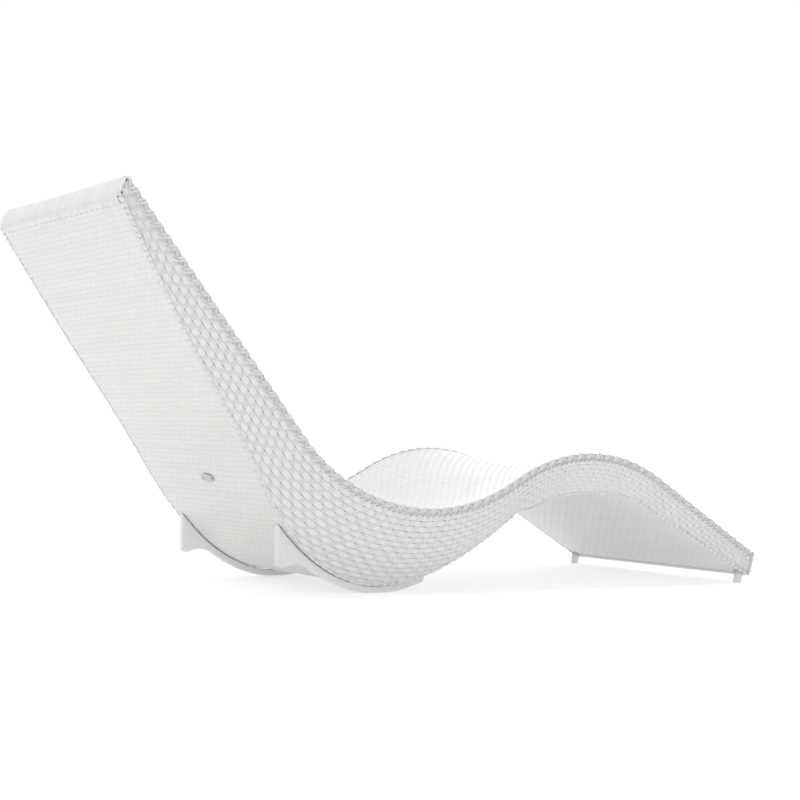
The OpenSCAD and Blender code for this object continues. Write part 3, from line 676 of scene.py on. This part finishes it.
def rope_edge(flip, side):
    """Plaited rope edge: strands wound over a flat core."""
    plait = Strands()
    for down, deep, swing_down, swing_y, width, thick, rate, start in ROPE_STRANDS:
        phase = 2 * np.pi * (rope_s / ROPE_LINK * rate + start)
        d = (down - swing_down * np.sin(phase)) * MM
        y = half_w - (deep - swing_y * np.cos(phase)) * MM
        normal = xyz(-swing_y * np.sin(phase)[:, None] * at(DOWN, rope_u), flip * swing_down * np.cos(phase))
        plait.add(rope_at(rope_u, d, flip * y)[None], unit(normal)[None], width * MM, thick * MM, OVAL)
    plait.piece(f"rope_plait_{side}", edge_white, "bound_edge", f"rope_edge_{side}")
    # The core shows in the plait's gaps in a darker grey, a painted shade
    core_d = np.full(rope_u.shape, ROPE_CORE_DOWN)
    centre = rope_at(rope_u, core_d, flip * (half_w - rope_w / 2 - ROPE_CORE_IN))[None]
    core = Strands()
    core.add(centre, np.array([0, flip, 0.0]), ROPE_CORE_W, ROPE_CORE_T, BOX)
    core.piece(f"rope_core_{side}", core_shade_grey, "bound_edge", f"rope_edge_{side}")


rope_edge(-1, "left")
rope_edge(1, "right")

# Wraps of the bound lower edges
BIND_ARC = np.radians(np.linspace(-75, 150, 11))
BIND_R = cord_rad - 0.8 * MM
BIND_W = 15 * MM
BIND_T = 1.5 * MM
BIND_SHARE = 0.9
BIND_CORE_D = 6.2 * MM


def lower_binding(flip, side):
    """Bound lower edge: a wrap round its outer side at each crossing, over a core."""
    a = BIND_ARC
    u = side_u[:, None] + 0 * a
    y = at(LOW_Y, u) - cord_rad + BIND_R * np.cos(a)
    centre = xyz(at(LOW, u) + (cord_rad - BIND_R * np.sin(a))[..., None] * at(UP, u), flip * y)
    normal = unit(xyz(-np.sin(a)[..., None] * at(UP, u), flip * np.cos(a)))
    width = np.minimum(BIND_W, BIND_SHARE * np.linalg.norm(np.gradient(centre, axis=0), axis=-1))
    wraps = Strands()
    wraps.add(centre, normal, width, BIND_T)
    wraps.piece(f"binding_wraps_{side}", edge_white, "bound_edge", f"lower_binding_{side}")
    u = station(long_turns(-0.5, count - 0.5))
    centre = xyz(at(LOW, u) + cord_rad * at(UP, u), flip * (at(LOW_Y, u) - cord_rad))[None]
    core = Strands()
    core.add(centre, np.array([0, flip, 0.0]), BIND_CORE_D, BIND_CORE_D, OVAL)
    core.piece(f"binding_core_{side}", edge_white, "bound_edge", f"lower_binding_{side}")


lower_binding(-1, "left")
lower_binding(1, "right")

# Wraps of the end bands. The first number of a point of a wrap is how far it is down from the top edge, the
# share of the face, how far it is up from the lower corner, in from that corner under the body, and past the
# length of the wrap's tail. The second number is how far out it is.
WRAP_PITCH = 15.6 * MM
WRAP_W = 14.9 * MM
WRAP_T = 1.3 * MM
WRAP_INSET = 0.9 * MM
WRAP_TOP = np.array([(4, 0.8), (1, 1.2), (0, 2.4), (0.5, 3.8), (3, 5.0), (8, 5.3)]) * MM
WRAP_FACE = ((0.35, 5.4 * MM), (0.6, 5.4 * MM))
WRAP_FOOT = np.array([(10, 5.1), (6, 4.2), (3, 2.4)]) * MM
WRAP_UNDER = np.array([(0.5, 0.9), (4, 1.3)]) * MM
WRAP_TAIL = np.array([(0, 1.1), (2.5, -0.6)]) * MM
LONG_TAIL = 13.0 * MM
SHORT_TAIL = 10.5 * MM
BAND_CORE_T = 3.6 * MM
BAND_CORE_OUT = 2.5 * MM
BAND_CORE_TRIM = 6 * MM
BAND_CORE_END = half_w - 2 * MM
LINE_POINTS = 60


def band_edge(y, corner_r, sag):
    """How much a band's rounded corners take off it at y, and how far its top edge sags there."""
    beyond = np.maximum(0, np.abs(y) - (half_w - corner_r))
    return corner_r - np.sqrt(corner_r**2 - beyond**2), sag * (1 - (y / half_w)**2)


def end_band(name, u, turn, corner_r, sag):
    """Wraps from the lying surface over the end face and onto the underside, alternately long and short.

    turn is 1 at the head and -1 at the foot, corner_r rounds the band's corners and sag lowers its top edge.
    """
    top, face, low_out = at(RAIL, u), at(FACE, u), -at(UP, u)
    out = np.array([face[1], -face[0]]) * turn
    inner = toward(at(LOW_SLOPE, u)) * turn
    depth = depths[u]
    wraps = Strands()
    number = int(round(overall_w / WRAP_PITCH))
    for k in range(number):
        y = (k + 0.5) * overall_w / number - half_w
        clip, drop = band_edge(y, corner_r, sag)
        start, end = clip + WRAP_INSET + drop, depth - clip - WRAP_INSET
        face_way = [(start + down, away) for down, away in WRAP_TOP]
        face_way += [(start + (end - start) * share, away) for share, away in WRAP_FACE]
        face_way += [(end - up, away) for up, away in WRAP_FOOT]
        tail = LONG_TAIL if k % 2 else SHORT_TAIL
        under_way = [*WRAP_UNDER, *[(tail + past, away) for past, away in WRAP_TAIL]]
        path = [top + down * face + away * out for down, away in face_way]
        path += [top + end * face + along * inner + away * low_out for along, away in under_way]
        path = np.array(path)
        step = np.gradient(path, axis=0)
        normal = np.stack([step[:, 1], -step[:, 0]], -1) * turn
        wraps.add(xyz(path, y)[None], unit(xyz(normal, 0.0))[None], WRAP_W, WRAP_T)
    wraps.piece(f"{name}_wraps", edge_white, "bound_edge", name)

    y = np.linspace(-BAND_CORE_END, BAND_CORE_END, LINE_POINTS)
    clip, drop = band_edge(y, corner_r, sag)
    centre = xyz(top + (depth + drop)[:, None] / 2 * face + BAND_CORE_OUT * out, y)[None]
    width = (depth - BAND_CORE_TRIM - drop - 2 * clip)[None]
    core = Strands()
    core.add(centre, np.array([out[0], 0, out[1]]), width, BAND_CORE_T, BOX)
    core.piece(f"{name}_core", edge_white, "bound_edge", name)


end_band("head_band", 0, 1, 22 * MM, 3.5 * MM)
end_band("foot_band", last_station, -1, 14 * MM, 0.0)


# Skids: how far the nose turns to each side, and the points of the round stretches
NOSE_TURN = 80
NOSE_POINTS = 13
ARCH_POINTS = 14
HEEL_POINTS = 10


def mesh_of(name, points, faces):
    """A mesh from its points and faces."""
    mesh = bpy.data.meshes.new(name)
    mesh.from_pydata([tuple(p) for p in points], [], faces)
    mesh.update()
    return mesh


def low_station(x):
    """Station under the back and the seat where the lower edge passes x."""
    near = (US > 1.5) & (US < 4)
    return np.interp(x, LOW[near][:, 0], US[near])


def skid_outline():
    """A skid seen from the side: along the body, round the nose, back along the sole, arch and heel."""
    back_x, front_x = shift_x - skid_rear, shift_x + skid_front
    front_u = low_station(front_x)
    body_u = np.linspace(low_station(back_x), front_u, LINE_POINTS)
    body = at(LOW, body_u) - fit * at(LOW_IN, body_u)
    sole_u = np.linspace(front_u, low_station(back_x + heel_len + arch_len), LINE_POINTS)
    sole = at(LOW, sole_u) - skid_t * at(LOW_IN, sole_u)
    nose_r = np.linalg.norm(body[-1] - sole[0]) / 2
    nose_slopes = at(LOW_SLOPE, front_u) + np.linspace(NOSE_TURN, -NOSE_TURN, NOSE_POINTS)
    nose = (body[-1] + sole[0]) / 2 + nose_r * toward(nose_slopes)
    arch_end = np.array([back_x + heel_len, heel_clear])
    share = np.linspace(0, 1, ARCH_POINTS)[1:-1][::-1]
    arch = arch_end + share[:, None] * (sole[-1] - arch_end)
    arch[:, 1] += heel_arch * np.sin(np.pi * share)
    corner = np.array([back_x + skid_corner_r, heel_clear + skid_corner_r])
    heel = corner + skid_corner_r * toward(np.linspace(270, 180, HEEL_POINTS))
    outline = np.concatenate([body, nose, sole, arch, [arch_end], heel])
    outline[:, 1] = np.maximum(outline[:, 1], 0)
    return outline


def skid(flip, side):
    """A skid: its outline, which runs clockwise, given thickness and rounded edges."""
    outline = skid_outline()
    n = len(outline)
    faces_y = flip * skid_y - skid_w / 2, flip * skid_y + skid_w / 2
    points = [(x, y, z) for y in faces_y for x, z in outline]
    ring = list(range(n))[::-1]
    faces = [ring, [i + n for i in ring[::-1]]]
    faces += [[ring[(i + 1) % n], ring[i], ring[i] + n, ring[(i + 1) % n] + n] for i in range(n)]
    mesh = mesh_of(f"skid_body_{side}", points, faces)
    for face in mesh.polygons:
        face.use_smooth = True
    obj = bpy.data.objects.new(f"skid_body_{side}", mesh)
    bevel = obj.modifiers.new("edges", "BEVEL")
    bevel.width = skid_round
    bevel.segments = 4
    bevel.limit_method = "ANGLE"
    bevel.angle_limit = np.radians(50)
    obj.modifiers.new("shade", "WEIGHTED_NORMAL").keep_sharp = False
    dress(obj, skid_white, f"skid_{side}")


# Heights of a glide's rings and how far each is inside its rim, in millimetres. Its top ring goes a little
# into the body, and the others stay below it.
GLIDE_RINGS = ((0.0, 2.2), (0.25, 1.1), (0.9, 0.35), (2.2, 0), (8, 0), (16, 0))
GLIDE_SIDES = 36
GLIDE_TOP = 24 * MM
GLIDE_BELOW = 1.5 * MM
GLIDE_INTO = 0.6 * MM


def glide(flip, side):
    """A leaning foot glide, cut off by the slope of the underside."""
    rim = glide_d / 2
    lean = np.tan(np.radians(glide_lean))
    turn = np.radians(np.arange(0, 360, 360 // GLIDE_SIDES))
    top_x = glide_x + GLIDE_TOP * lean + rim * np.cos(turn)
    top_z = np.interp(top_x, LOW[US > 7][:, 0], LOW[US > 7][:, 1])
    rings = []
    for z, inset in GLIDE_RINGS:
        r = rim - inset * MM
        x = glide_x + z * MM * lean + r * np.cos(turn)
        height = np.minimum(z * MM, top_z - GLIDE_BELOW)
        rings.append(np.stack([x, flip * glide_y + r * np.sin(turn), height], -1))
    rings.append(np.stack([top_x, flip * glide_y + rim * np.sin(turn), top_z + GLIDE_INTO], -1))

    n = GLIDE_SIDES
    faces = [[k * n + i, k * n + (i + 1) % n, (k + 1) * n + (i + 1) % n, (k + 1) * n + i]
             for k in range(len(rings) - 1) for i in range(n)]
    faces += [list(range(n))[::-1], [(len(rings) - 1) * n + i for i in range(n)]]
    mesh = mesh_of(f"glide_body_{side}", np.concatenate(rings), faces)
    for face in mesh.polygons:
        face.use_smooth = len(face.vertices) == 4
    dress(bpy.data.objects.new(f"glide_body_{side}", mesh), glide_white, f"foot_glide_{side}")


skid(-1, "left")
skid(1, "right")
glide(-1, "left")
glide(1, "right")

# The CAD nodes that stay
looks = {"badge_plate": badge_metal, "badge_rivets": steel,
         "skid_screws_left": steel, "skid_screws_right": steel}
for name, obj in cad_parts.items():
    if not obj.hide_render:
        obj.data.materials.clear()
        obj.data.materials.append(looks.get(name, paint))


# Floor and backdrop
def seen(tree):
    """1 for what the camera, a reflection or a clear surface sees, 0 for the light on the object."""
    path = node(tree, "ShaderNodeLightPath")
    clear = maths(tree, "MAXIMUM", path.outputs["Is Glossy Ray"], path.outputs["Is Transmission Ray"])
    return maths(tree, "MAXIMUM", path.outputs["Is Camera Ray"], clear)


# The darker spot under the object is longest along X
SPOT_SQUEEZE = (0.75, 0.95, 1.0)


def floor_material():
    """Pale floor that fades to white away from the object; on the object it casts only an even glow."""
    material = bpy.data.materials.new("floor")
    material.use_nodes = True
    t = material.node_tree
    t.nodes.clear()
    place = node(t, "ShaderNodeTexCoord").outputs["Object"]
    spot = vector_maths(t, "MULTIPLY", _0=place, _1=SPOT_SQUEEZE)
    reach = vector_maths(t, "LENGTH", _0=spot.outputs[0])
    far = map_range(t, reach.outputs["Value"], start=0.7, end=2.2, low=0.44, high=1.0)
    far.interpolation_type = "SMOOTHSTEP"
    glow = node(t, "ShaderNodeEmission", Color=(1, 1, 1, 1), Strength=far.outputs[0])
    along = node(t, "ShaderNodeSeparateXYZ", Vector=place)
    fill = map_range(t, along.outputs["X"], start=-1.2, end=1.4, low=0.35, high=0.37)
    even = node(t, "ShaderNodeEmission", Color=(1, 1, 1, 1), Strength=fill.outputs[0])
    dull = node(t, "ShaderNodeBsdfDiffuse", Color=(0.80, 0.80, 0.80, 1))
    unseen = node(t, "ShaderNodeAddShader", _0=dull.outputs[0], _1=even.outputs[0])
    shown = node(t, "ShaderNodeAddShader", _0=dull.outputs[0], _1=glow.outputs[0])
    pick = node(t, "ShaderNodeMixShader", Fac=seen(t), _1=unseen.outputs[0], _2=shown.outputs[0])
    node(t, "ShaderNodeOutputMaterial", Surface=pick.outputs[0])
    return material


FLOOR_REACH = 30
floor_corners = [(x * FLOOR_REACH, y * FLOOR_REACH, 0) for x, y in ((-1, -1), (1, -1), (1, 1), (-1, 1))]
floor = bpy.data.objects.new("floor", mesh_of("floor", floor_corners, [(0, 1, 2, 3)]))
bpy.context.scene.collection.objects.link(floor)
floor.data.materials.append(floor_material())

# World: white where it is seen, softer as light
WORLD_LIGHT = 0.56
world = bpy.data.worlds.new("studio")
bpy.context.scene.world = world
world.use_nodes = True
tree = world.node_tree
tree.nodes.clear()
soft = node(tree, "ShaderNodeBackground", Color=(1, 1, 1, 1), Strength=WORLD_LIGHT)
backdrop = node(tree, "ShaderNodeBackground", Color=(1, 1, 1, 1), Strength=1.0)
pick = node(tree, "ShaderNodeMixShader", Fac=seen(tree), _1=soft.outputs[0], _2=backdrop.outputs[0])
node(tree, "ShaderNodeOutputWorld", Surface=pick.outputs[0])


def lamp(name, place, aim, size, watts):
    """A soft rectangular lamp at a place, aimed at a point."""
    data = bpy.data.lights.new(name, "AREA")
    data.shape = "RECTANGLE"
    data.size, data.size_y = size
    data.energy = watts
    obj = bpy.data.objects.new(name, data)
    bpy.context.scene.collection.objects.link(obj)
    obj.location = place
    obj.rotation_mode = "QUATERNION"
    obj.rotation_quaternion = (Vector(aim) - Vector(place)).to_track_quat("-Z", "Y")


lamp("lamp_left", (-3.5, -3.0, 1.9), (0, 0, 0.4), (3.4, 2.6), 26)
lamp("lamp_top", (0.2, 0.6, 4.6), (0, 0, 0.3), (4.0, 3.4), 67)
lamp("lamp_head", (-1.9, 0.7, 4.4), (0.1, 0, 0.3), (2.6, 2.6), 64)
lamp("lamp_far", (2.6, 3.6, 1.2), (0.4, 0, 0.2), (3.0, 1.8), 52)

# Camera, fitted to the object's outline in the photo
FRAME_PX = 800
FOCAL_PX = 1704.7
SENSOR_MM = 36
CAMERA_AT = (-2.3565, -3.7390, 0.3814)
YAW, PITCH, ROLL = np.radians([32.503, 1.142, 1.183])
level = np.array([np.sin(YAW), np.cos(YAW), 0])
level_right = np.array([np.cos(YAW), -np.sin(YAW), 0])
upright = np.array([0, 0, 1.0])
ahead = level * np.cos(PITCH) + upright * np.sin(PITCH)
above = upright * np.cos(PITCH) - level * np.sin(PITCH)
camera_x = level_right * np.cos(ROLL) + above * np.sin(ROLL)
camera_y = above * np.cos(ROLL) - level_right * np.sin(ROLL)
camera_data = bpy.data.cameras.new("camera")
camera_data.sensor_width = SENSOR_MM
camera_data.lens = FOCAL_PX / FRAME_PX * SENSOR_MM
camera = bpy.data.objects.new("camera", camera_data)
bpy.context.scene.collection.objects.link(camera)
camera_rows = np.column_stack([camera_x, camera_y, -ahead, CAMERA_AT]).tolist()
camera.matrix_world = Matrix([*camera_rows, [0, 0, 0, 1]])
bpy.context.scene.camera = camera
bpy.context.scene.view_settings.view_transform = "Standard"
